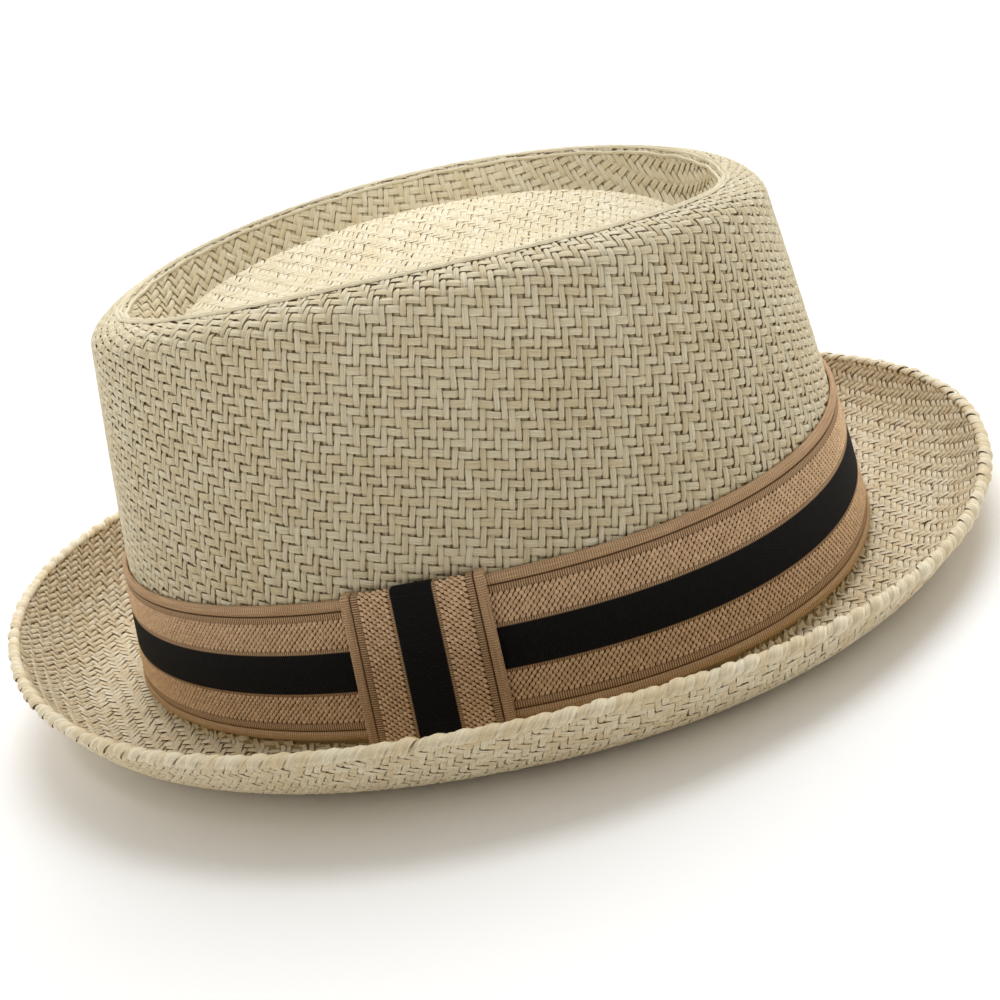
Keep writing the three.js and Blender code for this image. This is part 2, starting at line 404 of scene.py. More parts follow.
def tipSpot(u, v):
    x, y = leaned(u, v, straws["tipLean"])
    heading = np.arctan2(y, x)
    row = np.hypot(x, y) / lookUp(heading, crestHeading, tipRun) * crestRow
    return row, lookUp(heading, crestHeading, turns, fullTurn)


def tipLimit(row, turn):
    return row < crestRow + straws["lap"]


def wallSpot(u, v):
    around = (v * leanCos - u * leanSin) % girth
    down = u * leanCos + v * leanSin
    turn = np.interp(around, girthRun, np.append(turns, fullTurn))
    return crestRow + down / lookUp(turn, turns, wallRun) * (wallRows - 1), turn


def wallLimit(row, turn):
    # the crown's straws end under the band
    left = (footRow - row) / (wallRows - 1) * lookUp(turn, turns, wallRun)
    return (row > crestRow - straws["lap"]) & (left > straws["bandTop"] - straws["tuck"])


def brimSpot(u, v, lean):
    x, y = leaned(u, v, lean)
    heading = np.arctan2(y, x)
    out = np.hypot(x, y) - lookUp(heading, brimHeading, footRadius)
    share = out / lookUp(heading, brimHeading, brimRun)
    return brimRow + share * (brimRows - 1), lookUp(heading, brimHeading, turns, fullTurn)


# The straws. Each goes over two others and then under two

straws = {
    "bandTop": 37.2 * mm,  # the band's upper edge, up the wall
    "tuck": 5 * mm,  # how far the crown's straws go on under the band
    "lap": 1.2,  # rows by which the tip and the wall lap at the crest
    "footLap": 2,  # rows by which the brim's straws go on up the crown's foot
    "tipLean": 5,  # degrees by which the flat cloth is turned on each part
    "brimLean": 18,
    "underLean": -18,
    "short": 0.3 * mm,  # a short way, to measure directions over
    "flatWidth": 0.8,  # a flat straw's width as a share of its lane, so that lanes stay apart
    "waves": (31 * mm, 11 * mm),  # lengths of the two waves in which it wanders
    "widths": (0.87, 1.11),  # the narrowest and the widest, as shares of its width
    "sink": 0.1 * mm,  # how much lower some lie than others
    "stretch": 1.15,  # the most that a straw widens where the cloth is stretched
    "shortest": 3,  # crossings, and a shorter straw is left out
}
tipCloth = {
    "pitchU": alongPitch * 1.08,  # between the straws that run along the hat
    "pitchV": acrossPitch * 1.08,  # between the straws that run across it
    "reach": 100 * mm,  # the flat cloth reaches this far from its middle
    "lanes": None,  # as many as there is room for
    "fill": (0.94, 0.72),  # the width as a share of the pitch, of a straw that runs across or along
    "high": 0.1 * mm,  # where a straw lies over another, from the solid's face
    "low": -0.5 * mm,
    "arch": 0.27 * mm,  # how much lower its edges are
    "stray": 0.19 * mm,  # how far it wanders to the side
    "segments": 2,
    "spot": tipSpot,
    "limit": tipLimit,
    "over": lambda i, j: (i - j) % 4 < 2,
}
wallCloth = tipCloth | {
    "pitchU": alongPitch,
    "pitchV": acrossPitch,
    "fill": (0.83, 0.76),
    "segments": 3,
    "reach": 720 * mm,
    "lanes": (4 * winding["twillsRound"], 4 * winding["twillsDown"]),
    "spot": wallSpot,
    "limit": wallLimit,
}
brimCloth = tipCloth | {
    "pitchU": 1.66 * mm,
    "pitchV": 1.55 * mm,
    "reach": 154 * mm,
    "fill": (0.8, 0.76),
    "stray": 0.24 * mm,
    "high": 0.12 * mm,
    "spot": lambda u, v: brimSpot(u, v, straws["brimLean"]),
    "limit": lambda row, turn: (row >= brimRow - straws["footLap"]) & (row <= edgeRow),
}
underCloth = brimCloth | {
    "fill": (0.92, 0.88),
    "stray": 0.2 * mm,
    "high": -0.08 * mm,
    "arch": 0.2 * mm,
    "spot": lambda u, v: brimSpot(u, v, straws["underLean"]),
}
sideOn = Matrix(((0, 1, 0, 0), (1, 0, 0, 0), (0, 0, 1, 0), (0, 0, 0, 1)))


def flatStraws(cloth, alongU):
    # every straw is a strip of the flat cloth, with two points for each straw that it crosses
    bm = bmesh.new()
    step = (cloth["pitchU"] if alongU else cloth["pitchV"]) / 2
    lane = cloth["pitchV"] if alongU else cloth["pitchU"]
    half = int(cloth["reach"] / step)
    along = (np.arange(-half, half) + 0.5) * step
    lanes = int(cloth["reach"] / lane)
    numbers = range(cloth["lanes"][0 if alongU else 1]) if cloth["lanes"] else range(-lanes, lanes)
    for number in numbers:
        across = (number + 0.5) * lane
        u, v = (along, across + 0 * along) if alongU else (across + 0 * along, along)
        inside = cloth["limit"](*cloth["spot"](u, v))
        ends = np.flatnonzero(np.diff(np.concatenate([[0], inside.astype(int), [0]])))
        for first, last in zip(ends[::2], ends[1::2] - 1):
            if last - first < straws["shortest"]:
                continue
            size = (along[last] - along[first], lane * straws["flatWidth"], 1, 1)
            place = ((along[first] + along[last]) / 2, across, 0)
            matrix = Matrix.Translation(place) @ Matrix.Diagonal(size)
            if not alongU:
                matrix = sideOn @ matrix
            bmesh.ops.create_grid(
                bm, x_segments=int(last - first), y_segments=cloth["segments"], size=0.5, matrix=matrix
            )
    if not alongU:
        bmesh.ops.reverse_faces(bm, faces=bm.faces)
    return bm


def readPoints(mesh):
    points = np.empty(len(mesh.vertices) * 3)
    mesh.vertices.foreach_get("co", points)
    return points.reshape(-1, 3)


def writeMap(mesh, name, values):
    corners = np.empty(len(mesh.loops), int)
    mesh.loops.foreach_get("vertex_index", corners)
    mesh.uv_layers.new(name=name).data.foreach_set("uv", values[corners].ravel())


def writeFlatMap(mesh, flat):
    # the flat pieces side by side, so that no two share a place on the map
    low = flat[:, :2].min(axis=0)
    writeMap(mesh, "OFBake", (flat[:, :2] - low) / (flat[:, :2].max(axis=0) - low))


def writeValue(mesh, name, values):
    mesh.attributes.new(name, "FLOAT", "POINT").data.foreach_set("value", values)


def smoothFaces(mesh):
    mesh.polygons.foreach_set("use_smooth", np.ones(len(mesh.polygons), bool))
    mesh.update()


def finishPiece(name, mesh, slot, *materials):
    smoothFaces(mesh)
    piece = addPiece(name, mesh, *materials)
    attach(piece, "root")
    print("stage:", name, len(mesh.polygons))
    return piece


def drape(mesh, cloth, alongU, sheet, normals):
    # lays the flat straws over the hat, arched across, and going over and under the others
    flat = readPoints(mesh)
    run, across = (flat[:, 0], flat[:, 1]) if alongU else (flat[:, 1], flat[:, 0])
    pitch = cloth["pitchU"] if alongU else cloth["pitchV"]
    lane = cloth["pitchV"] if alongU else cloth["pitchU"]
    number = np.floor(across / lane).astype(int)
    index = np.floor(run / pitch).astype(int)
    middle = (number + 0.5) * lane
    sideways = (across - middle) / (lane * straws["flatWidth"] / 2)
    draws = chance.random((4, number.max() - number.min() + 1))[:, number - number.min()]
    for wave, draw in zip(straws["waves"], draws):
        middle = middle + cloth["stray"] * np.sin((run / wave + draw) * fullTurn) * 0.6
    over = cloth["over"](index, number) if alongU else ~cloth["over"](number, index)

    def place(further, beside):
        u, v = (run + further, middle + beside) if alongU else (middle + beside, run + further)
        row, turn = cloth["spot"](u, v)
        return sampleSheet(sheet, row, turn), sampleSheet(normals, row, turn)

    short = straws["short"]
    point, normal = place(0, 0)
    along = unit(place(short, 0)[0] - place(-short, 0)[0])
    toSide = (place(0, short)[0] - place(0, -short)[0]) / (2 * short)
    toSide -= along * np.sum(toSide * along, axis=-1, keepdims=True)
    room = np.minimum(np.linalg.norm(toSide, axis=-1), straws["stretch"])
    narrowest, widest = straws["widths"]
    share = cloth["fill"][0 if alongU else 1] * (narrowest + (widest - narrowest) * draws[2])
    width = lane / 2 * room * share
    height = np.where(over, cloth["high"], cloth["low"]) - cloth["arch"] * sideways**2
    height -= straws["sink"] * draws[1]
    point = point + unit(toSide) * (sideways * width)[:, None] + unit(normal) * height[:, None]
    mesh.vertices.foreach_set("co", point.ravel())
    writeMap(mesh, "straws", np.stack([run / (10 * mm), sideways / 2 + 0.5], axis=-1))
    writeFlatMap(mesh, flat)
    writeValue(mesh, "tone", draws[3])
    # depth is 1 where a straw passes under the others; the straw paint darkens it there as painted shade
    writeValue(mesh, "depth", np.where(over, 0.0, 1.0))


def makeStraws(name, cloth, alongU, sheet, normals, flip, material):
    bm = flatStraws(cloth, alongU)
    if flip:
        bmesh.ops.reverse_faces(bm, faces=bm.faces)
    mesh = meshFrom(bm, name)
    drape(mesh, cloth, alongU, sheet, normals)
    finishPiece(name, mesh, "straw_cloth", material)


# Materials


def addNode(tree, kind, **settings):
    node = tree.nodes.new("ShaderNode" + kind)
    for name, value in settings.items():
        setattr(node, name, value)
    return node


def join(tree, value, socket):
    # a socket takes another socket's value or a plain number
    if isinstance(value, bpy.types.NodeSocket):
        tree.links.new(value, socket)
    else:
        socket.default_value = value


def calc(tree, operation, *values):
    node = addNode(tree, "Math", operation=operation)
    for value, socket in zip(values, node.inputs):
        join(tree, value, socket)
    return node.outputs[0]


def blendColours(tree, share, first, second):
    node = addNode(tree, "Mix", data_type="RGBA")
    join(tree, share, node.inputs["Factor"])
    join(tree, first, node.inputs["A"])
    join(tree, second, node.inputs["B"])
    return node.outputs["Result"]


def spread(tree, value, low, high, newLow=0.0, newHigh=1.0):
    node = addNode(tree, "MapRange", interpolation_type="SMOOTHSTEP")
    for number, socket in zip((value, low, high, newLow, newHigh), node.inputs):
        join(tree, number, socket)
    return node.outputs["Result"]


def noise(tree, vector, scale, detail=2.0):
    node = addNode(tree, "TexNoise")
    tree.links.new(vector, node.inputs["Vector"])
    join(tree, scale, node.inputs["Scale"])
    node.inputs["Detail"].default_value = detail
    return node.outputs["Fac"]


def scaled(tree, vector, size):
    node = addNode(tree, "Mapping")
    tree.links.new(vector, node.inputs["Vector"])
    node.inputs["Scale"].default_value = size
    return node.outputs["Vector"]


def newGroup(name, inputs, outputs):
    group = bpy.data.node_groups.new(name, "ShaderNodeTree")
    for label, kind in inputs:
        group.interface.new_socket(label, in_out="INPUT", socket_type="NodeSocket" + kind)
    for label, kind in outputs:
        group.interface.new_socket(label, in_out="OUTPUT", socket_type="NodeSocket" + kind)
    return group, group.nodes.new("NodeGroupInput").outputs, group.nodes.new("NodeGroupOutput").inputs


def placeGroup(tree, group, **values):
    node = tree.nodes.new("ShaderNodeGroup")
    node.node_tree = group
    for name, value in values.items():
        join(tree, value, node.inputs[name])
    return node.outputs


def strandPlace(group, split, tone, stretch):
    # a place along the strand, with its own pattern for each tone
    node = addNode(group, "CombineXYZ")
    for axis, value, times in zip("XYZ", (split.outputs["X"], split.outputs["Y"], tone), stretch):
        join(group, calc(group, "MULTIPLY", value, times), node.inputs[axis])
    return node.outputs[0]


def fibresGroup():
    # long fibres and folds along a strand: x of the map runs along it, y goes from 0 to 1 across it
    group, given, result = newGroup(
        "fibres", [("Strand", "Vector"), ("Tone", "Float")], [("Streak", "Float"), ("Height", "Float")]
    )
    split = addNode(group, "SeparateXYZ")
    group.links.new(given["Strand"], split.inputs[0])
    fine = noise(group, strandPlace(group, split, given["Tone"], (1.0, 7.0, 90.0)), 1.6, 3.0)
    broad = noise(group, strandPlace(group, split, given["Tone"], (0.7, 2.2, 40.0)), 2.0, 1.0)
    # two folds run along each strand, a little off its middle
    wander = calc(group, "MULTIPLY", calc(group, "SUBTRACT", broad, 0.5), 0.25)
    aside = calc(group, "SUBTRACT", calc(group, "ADD", split.outputs["Y"], wander), 0.5)
    fromMiddle = calc(group, "ABSOLUTE", aside)
    fromFold = calc(group, "ABSOLUTE", calc(group, "SUBTRACT", fromMiddle, 0.17))
    folds = calc(group, "MULTIPLY", spread(group, fromFold, 0.0, 0.09), 0.55)
    join(group, fine, result["Streak"])
    join(group, calc(group, "ADD", calc(group, "MULTIPLY", fine, 0.45), folds), result["Height"])
    return group


fibres = fibresGroup()


def newMaterial(name, roughness, specular=0.5):
    material = bpy.data.materials.new(name)
    material.use_nodes = True
    tree = material.node_tree
    shader = tree.nodes["Principled BSDF"]
    shader.inputs["Roughness"].default_value = roughness
    shader.inputs["Specular IOR Level"].default_value = specular
    return material, tree, shader


def readMap(tree, name):
    return addNode(tree, "UVMap", uv_map=name).outputs["UV"]


def readValue(tree, name):
    return addNode(tree, "Attribute", attribute_name=name).outputs["Fac"]


def addBump(tree, shader, height, distance):
    bump = addNode(tree, "Bump")
    bump.inputs["Distance"].default_value = distance
    tree.links.new(height, bump.inputs["Height"])
    tree.links.new(bump.outputs["Normal"], shader.inputs["Normal"])


# The straws are pale to honey, and their streaks take the darker shade colour; the same colour is painted
# shade where a straw lies low under the others
crownColours = {
    "straws": ((0.81, 0.73, 0.53, 1), (0.725, 0.61, 0.385, 1)),
    "shade": (0.42, 0.285, 0.12, 1),
}
brimColours = {
    "straws": ((0.88, 0.79, 0.59, 1), (0.78, 0.635, 0.4, 1)),
    "shade": (0.46, 0.29, 0.1, 1),
}


def strawMaterial(name, colours):
    material, tree, shader = newMaterial(name, 0.56, 0.4)
    tone = readValue(tree, "tone")
    strand = placeGroup(tree, fibres, Strand=readMap(tree, "straws"), Tone=tone)
    place = addNode(tree, "TexCoord").outputs["Object"]
    patches = noise(tree, place, 55.0, 2.0)
    mixed = calc(tree, "ADD", calc(tree, "MULTIPLY", tone, 0.45), calc(tree, "MULTIPLY", patches, 0.6))
    base = blendColours(tree, spread(tree, mixed, 0.15, 0.9), *colours["straws"])
    streaks = spread(tree, strand["Streak"], 0.62, 0.36, 0.0, 0.3)
    streaked = blendColours(tree, streaks, base, colours["shade"])
    # painted shade: a straw is darkened where it lies low, passing under the straws it crosses
    paintedShade = calc(tree, "MULTIPLY", readValue(tree, "depth"), 0.36)
    colour = blendColours(tree, paintedShade, streaked, colours["shade"])
    tree.links.new(colour, shader.inputs["Base Color"])
    tree.links.new(spread(tree, strand["Streak"], 0.3, 0.7, 0.66, 0.46), shader.inputs["Roughness"])
    addBump(tree, shader, strand["Height"], 0.12 * mm)
    return material


def groundMaterial():
    # what shows between the straws: a sheet whose dark colour is painted shade in the gaps between them
    material, tree, shader = newMaterial("strawGapShade", 0.85, 0.2)
    place = addNode(tree, "TexCoord").outputs["Object"]
    grain = noise(tree, place, 420.0, 2.0)
    # dark ochre: painted shade between and under the straws, with a fine grain
    colour = blendColours(tree, grain, (0.34, 0.235, 0.1, 1), (0.48, 0.35, 0.17, 1))
    tree.links.new(colour, shader.inputs["Base Color"])
    addBump(tree, shader, grain, 0.2 * mm)
    return material


def insideMaterial():
    # the same twill seen from inside the crown, read from the map of the flat cloth, with painted shade in
    # the gaps between its straws
    material, tree, shader = newMaterial("strawInside", 0.6, 0.35)
    cloth = addNode(tree, "SeparateXYZ")
    tree.links.new(readMap(tree, "cloth"), cloth.inputs[0])
    parts = []
    for axis, pitch in (("X", wallCloth["pitchU"]), ("Y", wallCloth["pitchV"])):
        count = calc(tree, "MULTIPLY", cloth.outputs[axis], 10 * mm / pitch)
        parts.append((calc(tree, "FLOOR", count), calc(tree, "FRACT", count)))
    (i, besideU), (j, besideV) = parts
    turn = calc(tree, "FLOORED_MODULO", calc(tree, "SUBTRACT", i, j), 4.0)
    over = calc(tree, "LESS_THAN", turn, 1.5)
    mapped = []
    for beside in (besideU, besideV):
        fromMiddle = calc(tree, "ABSOLUTE", calc(tree, "SUBTRACT", beside, 0.5))
        mapped.append(spread(tree, fromMiddle, 0.5, 0.28))
    arch = addNode(tree, "Mix", data_type="FLOAT")
    for value, number in zip((over, *mapped), (0, 2, 3)):
        join(tree, value, arch.inputs[number])
    height = arch.outputs[0]
    place = addNode(tree, "TexCoord").outputs["Object"]
    base = blendColours(tree, noise(tree, place, 60.0), (0.6, 0.49, 0.3, 1), (0.5, 0.37, 0.19, 1))
    # painted shade: near black where the straws' edges meet, in the gaps between them
    colour = blendColours(tree, height, (0.16, 0.1, 0.04, 1), base)
    tree.links.new(colour, shader.inputs["Base Color"])
    addBump(tree, shader, height, 0.4 * mm)
    return material


# Zones are millimetres from the webbing's edge, between which each comes or goes
zones = {
    "ribBy": (2.5, 2.3),
    "stitchesFrom": (2.72, 2.85),
    "stitchesTo": (4.55, 4.4),
    "outerStitches": (11.35, 11.5),
    "black": (12.2, 12.4),
    "stitchPitch": 0.56,
}
webbingColours = {
    "tan": ((0.78, 0.53, 0.33, 1), (0.65, 0.42, 0.24, 1)),
    "groove": (0.4, 0.24, 0.12, 1),
    "between": ((0.12, 0.062, 0.027, 1), (0.26, 0.15, 0.07, 1)),  # the yarns, and the stitches
    "black": ((0.004, 0.004, 0.0045, 1), (0.009, 0.008, 0.008, 1)),
    # the foot colour is painted shade, darker and warmer, close to the brim
    "foot": (0.5, 0.31, 0.1, 1),  # it takes a warmer colour close to the brim
    "yarn": ((0.95, 0.67, 0.42, 1), (0.8, 0.54, 0.32, 1)),
    "yarnShade": (0.36, 0.2, 0.09, 1),
}


def webbingMaterial():
    # rows of stitches border the twilled fields, and black fills the middle
    material, tree, shader = newMaterial("webbing", 0.85, 0.2)
    weave = readMap(tree, "weave")
    split = addNode(tree, "SeparateXYZ")
    tree.links.new(weave, split.inputs[0])
    across = split.outputs["Y"]
    fromEdge = calc(tree, "MINIMUM", across, calc(tree, "SUBTRACT", webbing["width"] / mm, across))
    wave = calc(tree, "SINE", calc(tree, "MULTIPLY", split.outputs["X"], fullTurn / zones["stitchPitch"]))
    stitch = spread(tree, wave, -0.5, 0.7)
    lines = noise(tree, scaled(tree, weave, (0.08, 5.0, 1.0)), 1.0, 2.0)
    fuzz = noise(tree, scaled(tree, weave, (2.6, 2.6, 1.0)), 1.0, 3.0)
    rib = spread(tree, fromEdge, *zones["ribBy"])
    starts = spread(tree, fromEdge, *zones["stitchesFrom"])
    inner = calc(tree, "MULTIPLY", starts, spread(tree, fromEdge, *zones["stitchesTo"]))
    borders = calc(tree, "ADD", inner, spread(tree, fromEdge, *zones["outerStitches"]))
    ragged = calc(tree, "ADD", fromEdge, calc(tree, "MULTIPLY", wave, 0.1))
    black = spread(tree, ragged, *zones["black"])
    stitched = calc(tree, "MULTIPLY", borders, stitch)
    tan = blendColours(tree, fuzz, *webbingColours["tan"])
    grooves = calc(tree, "ADD", lines, calc(tree, "MULTIPLY", stitch, 0.3))
    ribbed = blendColours(tree, spread(tree, grooves, 0.45, 0.8), webbingColours["groove"], tan)
    low = blendColours(tree, borders, *webbingColours["between"])
    withRib = blendColours(tree, rib, low, ribbed)
    withStitches = blendColours(tree, stitched, withRib, tan)
    dark = blendColours(tree, fuzz, *webbingColours["black"])
    place = addNode(tree, "SeparateXYZ")
    tree.links.new(addNode(tree, "TexCoord").outputs["Object"], place.inputs[0])
    # painted shade: the band and keeper grow darker and warmer towards the brim, in the corner they make
    # with it
    footShade = spread(tree, place.outputs["Z"], 9 * mm, 3 * mm, 0.0, 0.6)
    footShaded = blendColours(tree, footShade, withStitches, webbingColours["foot"])
    tree.links.new(blendColours(tree, black, footShaded, dark), shader.inputs["Base Color"])
    ridges = calc(tree, "MULTIPLY", calc(tree, "ADD", lines, stitch), calc(tree, "MULTIPLY", rib, 0.6))
    cloth = calc(tree, "MULTIPLY", calc(tree, "MULTIPLY", calc(tree, "ADD", stitch, fuzz), black), 0.2)
    nap = calc(tree, "ADD", cloth, calc(tree, "MULTIPLY", fuzz, 0.2))
    height = calc(tree, "ADD", calc(tree, "ADD", stitched, ridges), nap)
    addBump(tree, shader, height, 0.22 * mm)
    return material


def yarnMaterial():
    material, tree, shader = newMaterial("webbingYarn", 0.8, 0.25)
    tone = readValue(tree, "tone")
    strand = placeGroup(tree, fibres, Strand=readMap(tree, "straws"), Tone=tone)
    base = blendColours(tree, tone, *webbingColours["yarn"])
    streaks = spread(tree, strand["Streak"], 0.52, 0.3, 0.0, 0.5)
    colour = blendColours(tree, streaks, base, webbingColours["yarnShade"])
    tree.links.new(colour, shader.inputs["Base Color"])
    addBump(tree, shader, strand["Height"], 0.08 * mm)
    return material


strawPaint = strawMaterial("paperStraw", crownColours)
brimPaint = strawMaterial("brimStraw", brimColours)
print("stage: materials")

# The ground under the straws: one closed shell with the hat's whole form

ground = {
    "drop": 0.95 * mm,  # from the solid's upper face to the ground
    "underDrop": 0.8 * mm,  # the same, from the lower face of the brim
    "hemSteps": 7,
    "everyTurn": 4,
    "everyRow": 2,
}


def edgeFrame():
    run = unit(topSheet[-1] - topSheet[-2])
    normal = topNormals[-1]
    return topSheet[-1] - normal * form["hemWall"] / 2, run, normal


def flatCloth():
    # where each point of the crown's rows lies on the flat cloth, with the first column again at the end
    lean = math.radians(straws["tipLean"])
    tip = np.linspace(0, 1, tipRows)[:, None] * np.append(tipRun, tipRun[0])
    heading = np.append(crestHeading, crestHeading[0])
    tipMap = np.stack([tip * np.cos(heading + lean), tip * np.sin(heading + lean)], axis=-1)
    down = np.linspace(0, 1, wallRows)[1:, None] * np.append(wallRun, wallRun[0])
    wallMap = np.stack([down * leanCos - girthRun * leanSin, girthRun * leanCos + down * leanSin], axis=-1)
    return np.concatenate([tipMap, wallMap])


def makeGround():
    skip = ground["everyRow"]
    turned = slice(None, None, ground["everyTurn"])
    upper = (topSheet - topNormals * ground["drop"])[::skip, turned]
    middle, run, normal = (part[turned] for part in edgeFrame())
    radius = form["hemWall"] / 2 - ground["underDrop"] / 2
    angles = np.linspace(math.pi / 2, -math.pi / 2, ground["hemSteps"])
    hem = np.array([middle + radius * (math.cos(a) * run + math.sin(a) * normal) for a in angles])
    raised = np.zeros(len(topSheet))
    raised[brimRow:] = ground["underDrop"]
    lower = (lowerSheet + topNormals * raised[:, None, None])[::skip, turned][::-1]
    sheet = np.concatenate([upper[:-1], hem, lower[1:]])
    cloth = np.zeros((len(topSheet), turnCount + 1, 2))
    cloth[:brimRow] = flatCloth()
    cloth = cloth[::skip, turned]
    cloth = np.concatenate([cloth[:-1], np.zeros((len(hem), *cloth.shape[1:])), cloth[::-1][1:]])
    rows, columns = sheet.shape[:2]
    bm = bmesh.new()
    bmesh.ops.create_grid(bm, x_segments=columns, y_segments=rows - 1, size=0.5)
    mapLayer = bm.loops.layers.uv.new("cloth")
    firstInside = len(upper) + len(hem) - 2 + brimRows // skip
    for face in bm.faces:
        face.material_index = int((face.calc_center_median().y + 0.5) * (rows - 1) > firstInside)
    for vertex in bm.verts:
        column = round((vertex.co.x + 0.5) * columns)
        row = round((vertex.co.y + 0.5) * (rows - 1))
        vertex.co = sheet[row, column % columns]
        for loop in vertex.link_loops:
            loop[mapLayer].uv = cloth[row, column] / (10 * mm)
    bmesh.ops.remove_doubles(bm, verts=bm.verts, dist=1e-6)
    bmesh.ops.recalc_face_normals(bm, faces=bm.faces)
    mesh = meshFrom(bm, "straw_ground")
    piece = finishPiece("straw_ground", mesh, "straw_cloth", groundMaterial(), insideMaterial())
    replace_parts(piece, "straw_body")


makeGround()
makeStraws("tip_straws_across", tipCloth, True, topSheet, topNormals, False, strawPaint)
makeStraws("tip_straws_along", tipCloth, False, topSheet, topNormals, False, strawPaint)
makeStraws("wall_straws_upright", wallCloth, True, topSheet, topNormals, False, strawPaint)
makeStraws("wall_straws_level", wallCloth, False, topSheet, topNormals, False, strawPaint)
makeStraws("brim_straws_across", brimCloth, True, topSheet, topNormals, False, brimPaint)
makeStraws("brim_straws_along", brimCloth, False, topSheet, topNormals, False, brimPaint)
makeStraws("underbrim_straws_across", underCloth, True, lowerSheet, lowerNormals, True, brimPaint)
makeStraws("underbrim_straws_along", underCloth, False, lowerSheet, lowerNormals, True, brimPaint)

# Fine folds run round the crest

crestFold = {
    "offsets": (-1.3 * mm, 0.3 * mm, 1.35 * mm),  # of each fold, down from the crest
    "width": 0.95 * mm,
    "lift": 0.52 * mm,
    "arch": 0.44 * mm,
    "columns": 480,
    "waves": ((0.12 * mm, 23, 1), (0.08 * mm, 41, -1)),  # how far it wanders, waves in a turn, and shift
    "knots": (0.07 * mm, 130, 2),  # the same, up and down
    "mapLength": 45,  # of a fold on the map of the straws
}


def makeCrestFold():
    bm = bmesh.new()
    for fold in range(len(crestFold["offsets"])):
        place = Matrix.Translation((0.5, fold, 0))
        bmesh.ops.create_grid(bm, x_segments=crestFold["columns"], y_segments=3, size=0.5, matrix=place)
    mesh = meshFrom(bm, "crest_fold")
    flat = readPoints(mesh)
    fold = np.repeat(np.arange(len(crestFold["offsets"])), len(flat) // len(crestFold["offsets"]))
    sideways = (flat[:, 1] - fold) * 2
    turn = flat[:, 0] * fullTurn
    wander = sum(reach * np.sin(turn * count + fold * shift) for reach, count, shift in crestFold["waves"])
    reach, count, shift = crestFold["knots"]
    knots = reach * np.sin(turn * count + fold * shift)
    down = np.array(crestFold["offsets"])[fold] + wander + sideways * crestFold["width"] / 2
    inwards = lookUp(turn, turns, tipRun) / (tipRows - 1)
    row = crestRow + down / np.where(down < 0, inwards, lookUp(turn, turns, wallRun) / (wallRows - 1))
    lift = crestFold["lift"] - crestFold["arch"] * sideways**2 + knots
    point = sampleSheet(topSheet, row, turn) + unit(sampleSheet(topNormals, row, turn)) * lift[:, None]
    mesh.vertices.foreach_set("co", point.ravel())
    writeMap(mesh, "straws", np.stack([flat[:, 0] * crestFold["mapLength"], sideways / 2 + 0.5], axis=-1))
    writeFlatMap(mesh, flat)
    writeValue(mesh, "tone", 0.1 + 0.2 * fold)
    writeValue(mesh, "depth", np.zeros(len(fold)))
    finishPiece("crest_fold", mesh, "straw_cloth", strawPaint)


makeCrestFold()

# The hem: straws that wind over the brim's edge

hem = {
    "pitch": 2.75 * mm,  # between straws, along the edge
    "shift": 5.0 * mm,  # how far a straw runs along while it goes over
    "width": 2.7 * mm,
    "from": -115,  # degrees below and above the edge's middle
    "to": 100,
    "lift": 0.1 * mm,
    "bulge": 0.42 * mm,
    "lobe": 0.4 * mm,  # how far every other straw stands out over its neighbours
    "arch": 0.42 * mm,
    "steps": 10,
}


def makeHem():
    middle, run, normal = edgeFrame()
    lengths = np.linalg.norm(np.roll(middle, -1, axis=0) - middle, axis=-1)
    reached = np.concatenate([[0], np.cumsum(lengths)])
    count = 2 * round(reached[-1] / hem["pitch"] / 2)
    pitch = reached[-1] / count
    bm = bmesh.new()
    for number in range(count):
        place = Matrix.Translation(((number + 0.5) * pitch, 0, 0))
        matrix = place @ Matrix.Diagonal((pitch * straws["flatWidth"], 1, 1, 1))
        bmesh.ops.create_grid(bm, x_segments=3, y_segments=hem["steps"], size=0.5, matrix=matrix)
    mesh = meshFrom(bm, "brim_hem")
    flat = readPoints(mesh)
    number = np.floor(flat[:, 0] / pitch).astype(int)
    sideways = (flat[:, 0] - (number + 0.5) * pitch) / (pitch * straws["flatWidth"] / 2)
    share = flat[:, 1] + 0.5
    draws = chance.random((4, count))[:, number]
    angle = np.radians(hem["from"] + (hem["to"] - hem["from"]) * share)
    width = hem["width"] * (0.92 + 0.16 * draws[0])
    along = (number + 0.5 + 0.3 * (draws[1] - 0.5)) * pitch + hem["shift"] * (share - 0.5)
    slant = math.atan2(hem["shift"], math.radians(hem["to"] - hem["from"]) * form["hemWall"] / 2)
    along = along + sideways * width / 2 * math.cos(slant)
    angle = angle - sideways * width / 2 * math.sin(slant) / (form["hemWall"] / 2)
    turn = np.interp(along % reached[-1], reached, np.append(turns, fullTurn))
    edge = [sampleSheet(part[None].repeat(2, axis=0), 0 * turn, turn) for part in (middle, run, normal)]
    rise = np.sin(np.pi * share)
    proud = hem["lobe"] * (number % 2) * rise**2 + hem["bulge"] * (0.5 + draws[2]) * rise
    lift = hem["lift"] + proud - hem["arch"] * sideways**2
    radius = (form["hemWall"] / 2 + lift)[:, None]
    point = edge[0] + radius * (np.cos(angle)[:, None] * edge[1] + np.sin(angle)[:, None] * edge[2])
    mesh.vertices.foreach_set("co", point.ravel())
    writeMap(mesh, "straws", np.stack([share * 0.7 + number, sideways / 2 + 0.5], axis=-1))
    writeMap(mesh, "OFBake", np.stack([flat[:, 0] / reached[-1], share], axis=-1))
    writeValue(mesh, "tone", draws[3])
    # painted shade: each hem straw is darkened at its ends, where it tucks under its neighbours, and along
    # its edges there
    writeValue(mesh, "depth", np.clip(1 - 2.2 * rise + sideways**6, 0, 1.5))
    finishPiece("brim_hem", mesh, "straw_cloth", brimPaint)


makeHem()

# The webbing of the band and its keeper

